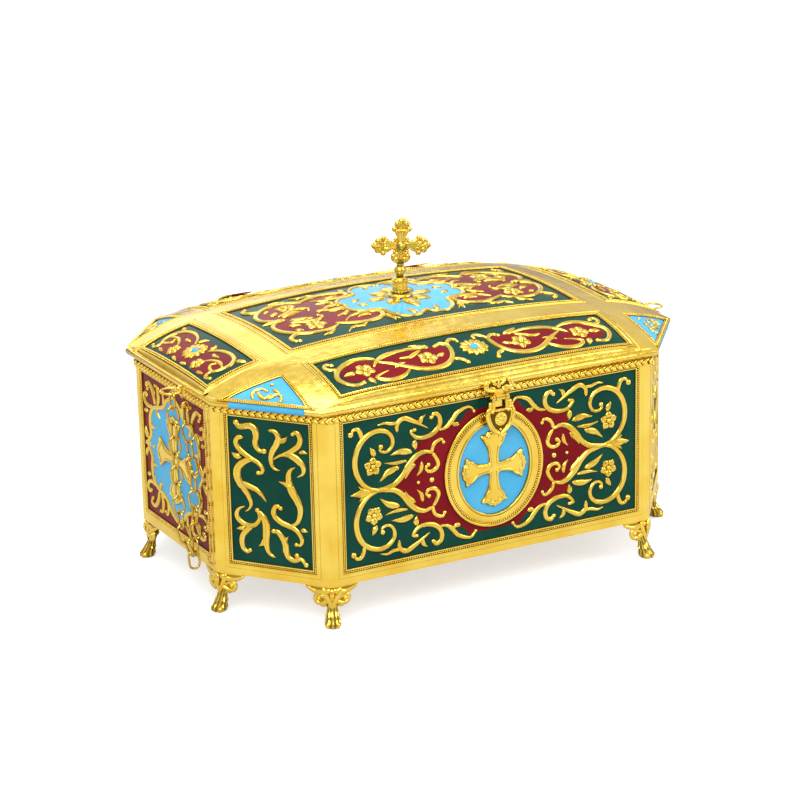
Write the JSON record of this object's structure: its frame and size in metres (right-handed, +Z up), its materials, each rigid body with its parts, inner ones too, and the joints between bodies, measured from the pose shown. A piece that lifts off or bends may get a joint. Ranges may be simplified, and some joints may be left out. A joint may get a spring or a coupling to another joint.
{
  "type": "reliquary casket",
  "caption": "Eight-sided brass casket with enamelled panels, cast feet, a hinged pillow-shaped lid with a cross, a front hasp and a stay chain",
  "frame": {"origin": "on the ground under the middle of the casket", "axes": "+X along the long side to the viewer's right, -Y the front with the hasp, +Z up"},
  "size_m": [0.3364, 0.2318, 0.1999],
  "materials": {
    "brass": "polished gilt brass, darker in the recesses",
    "enamel_green": "glossy dark green enamel",
    "enamel_red": "glossy dark red enamel",
    "enamel_blue": "glossy light blue enamel"
  },
  "bodies": {
    "casket": {"casket_body": "brass", "rim_braid": "brass", "hasp_lug": "brass", "foot_front_right": "brass", "foot_right_front": "brass", "foot_right_back": "brass", "foot_back_right": "brass", "foot_back_left": "brass", "foot_left_back": "brass", "foot_left_front": "brass", "foot_front_left": "brass", "hinge_body_leaf_left": "brass", "hinge_pin_left": "brass", "hinge_body_leaf_right": "brass", "hinge_pin_right": "brass", "stay_ring_left": "brass", "stay_eye_upper_left": "brass", "stay_eye_lower_left": "brass", "stay_ring_right": "brass", "stay_eye_upper_right": "brass", "stay_eye_lower_right": "brass", "chain_link_01": "brass", "chain_link_02": "brass", "chain_link_03": "brass", "chain_link_04": "brass", "chain_link_05": "brass", "chain_link_06": "brass", "chain_link_07": "brass", "chain_link_08": "brass", "chain_link_09": "brass", "chain_link_10": "brass", "chain_link_11": "brass", "chain_link_12": "brass", "chain_link_13": "brass", "chain_link_14": "brass", "chain_link_15": "brass", "chain_link_16": "brass", "chain_link_17": "brass", "chain_link_18": "brass", "chain_link_19": "brass", "chain_link_20": "brass", "chain_link_21": "brass"},
    "lid": {"lid": "brass", "finial_collar": "brass", "finial_cross": "brass", "hasp_plate": "brass", "hasp_pin": "brass", "hinge_lid_leaf_left": "brass", "hinge_lid_leaf_right": "brass"},
    "hasp": {"hasp_leaf": "brass"}
  },
  "joints": [
    {"name": "lid_hinge", "type": "hinge", "parent": "casket", "child": "lid", "pos_m": [0, 0.114, 0.12465], "axis": [-1, 0, 0], "range_deg": [0, 100]},
    {"name": "hasp_hinge", "type": "hinge", "parent": "lid", "child": "hasp", "pos_m": [0.001, -0.1141, 0.1193], "axis": [-1, 0, 0], "range_deg": [0, 150]}
  ]
}
